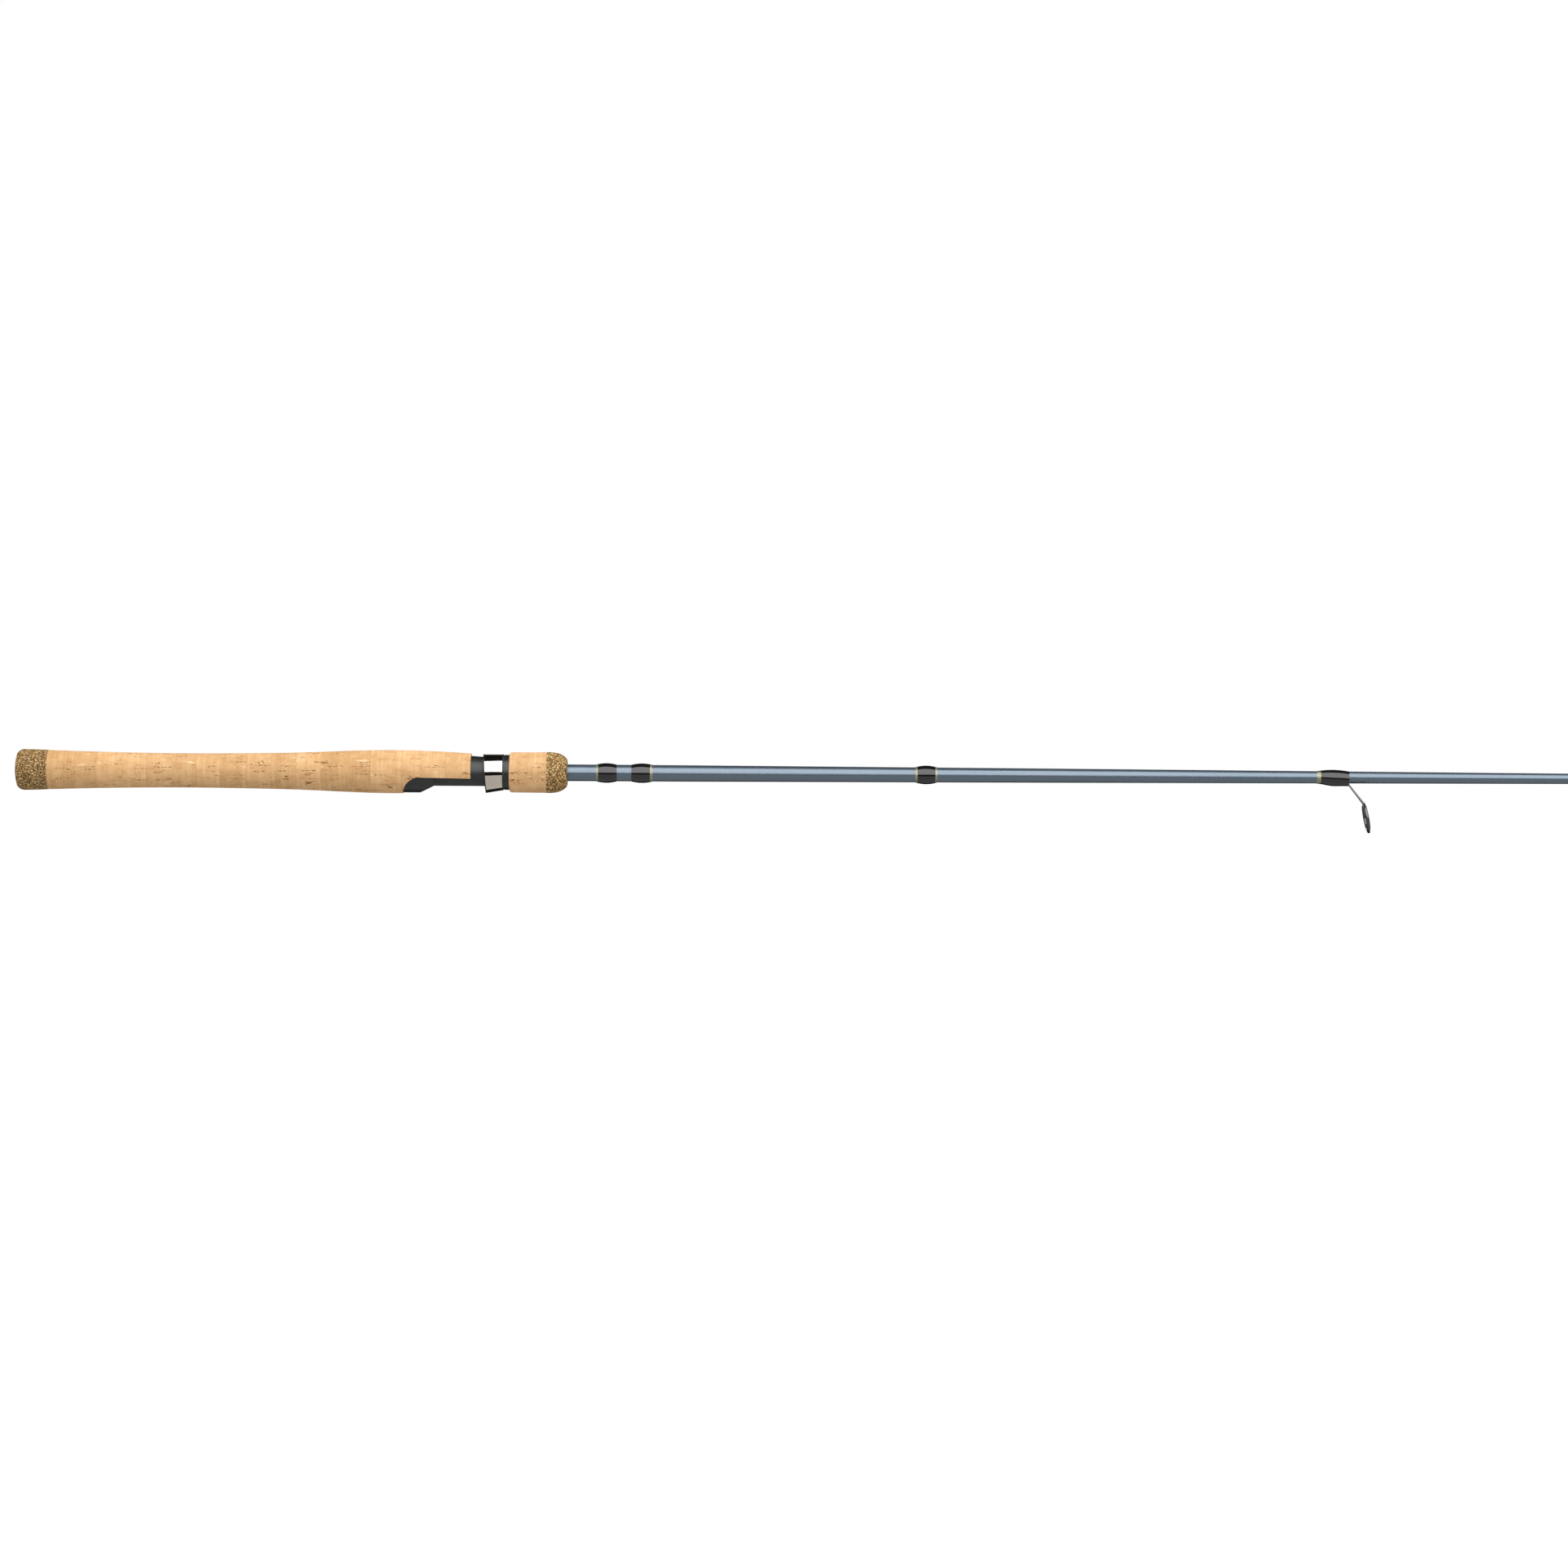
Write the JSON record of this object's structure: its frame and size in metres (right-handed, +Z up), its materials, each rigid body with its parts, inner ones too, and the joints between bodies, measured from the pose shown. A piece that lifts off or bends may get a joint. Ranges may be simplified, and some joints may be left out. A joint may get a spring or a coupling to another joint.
{
  "type": "spinning fishing rod",
  "caption": "Slim two-section spinning rod with a turned cork grip, a sliding hood moved by a screw foregrip, a tapered blank and single-foot line guides hanging below it.",
  "frame": {"origin": "on the rod's axis at the end of the butt cap", "axes": "+X along the rod from butt to tip, +Z up, the guides and the reel hang on the -Z side"},
  "size_m": [2.1375, 0.0284, 0.0511],
  "materials": {
    "carbon_blank": "metallic slate-blue clear coat over a carbon tube",
    "rubber_cork": "tan and dark speckled rubberised cork",
    "cork": "sanded natural cork",
    "seat_black": "satin black moulded nylon",
    "arbor": "rigid foam",
    "band_metal": "polished metal",
    "washer": "black acetal",
    "nut_black": "black moulded nylon",
    "wrap_black": "black thread under a glossy epoxy finish",
    "trim_gold": "pale gold metallic thread under a glossy epoxy finish",
    "guide_metal": "dark polished stainless steel",
    "guide_ceramic": "polished dark ceramic"
  },
  "bodies": {
    "butt_section": {"butt_blank": "carbon_blank", "butt_cap": "rubber_cork", "rear_grip_cork_rings": "cork", "reel_seat": "seat_black", "seat_arbors": "arbor", "fore_wrap_1": "wrap_black", "fore_wrap_1_trim": "trim_gold", "fore_wrap_2": "wrap_black", "fore_wrap_2_trim": "trim_gold", "mid_wrap": "wrap_black", "mid_wrap_trims": "trim_gold", "guide_1_frame": "guide_metal", "guide_1_ring": "guide_ceramic", "guide_1_wrap": "wrap_black", "guide_1_trim": "trim_gold"},
    "hood": {"sliding_hood": "seat_black", "hood_band": "band_metal", "hood_washer": "washer"},
    "foregrip": {"lock_nut": "nut_black", "foregrip_cork_rings": "cork", "foregrip_cap": "rubber_cork"},
    "tip_section": {"tip_blank": "carbon_blank", "ferrule_wrap": "wrap_black", "ferrule_wrap_trims": "trim_gold", "guide_2_frame": "guide_metal", "guide_2_ring": "guide_ceramic", "guide_2_wrap": "wrap_black", "guide_2_trim": "trim_gold", "guide_3_frame": "guide_metal", "guide_3_ring": "guide_ceramic", "guide_3_wrap": "wrap_black", "guide_3_trim": "trim_gold", "guide_4_frame": "guide_metal", "guide_4_ring": "guide_ceramic", "guide_4_wrap": "wrap_black", "guide_4_trim": "trim_gold", "guide_5_frame": "guide_metal", "guide_5_ring": "guide_ceramic", "guide_5_wrap": "wrap_black", "guide_5_trim": "trim_gold", "guide_6_frame": "guide_metal", "guide_6_ring": "guide_ceramic", "guide_6_wrap": "wrap_black", "guide_6_trim": "trim_gold", "guide_7_frame": "guide_metal", "guide_7_ring": "guide_ceramic", "guide_7_wrap": "wrap_black", "guide_7_trim": "trim_gold", "tip_top_frame": "guide_metal", "tip_top_ring": "guide_ceramic", "tip_top_wrap": "wrap_black", "tip_top_trim": "trim_gold"}
  },
  "joints": [
    {"name": "hood_slide", "type": "slide", "parent": "butt_section", "child": "hood", "axis": [1, 0, 0], "range_m": [0, 0.018]},
    {"name": "foregrip_turn", "type": "hinge", "parent": "hood", "child": "foregrip", "pos_m": [0.3267, 0, 0], "axis": [1, 0, 0], "range_deg": [0, 3240]},
    {"name": "ferrule_slide", "type": "slide", "parent": "butt_section", "child": "tip_section", "axis": [1, 0, 0], "range_m": [0, 0.08]}
  ],
  "couplings": [
    {"joint": "hood_slide", "follows": "foregrip_turn", "m_per_rad": 0.00031831}
  ]
}
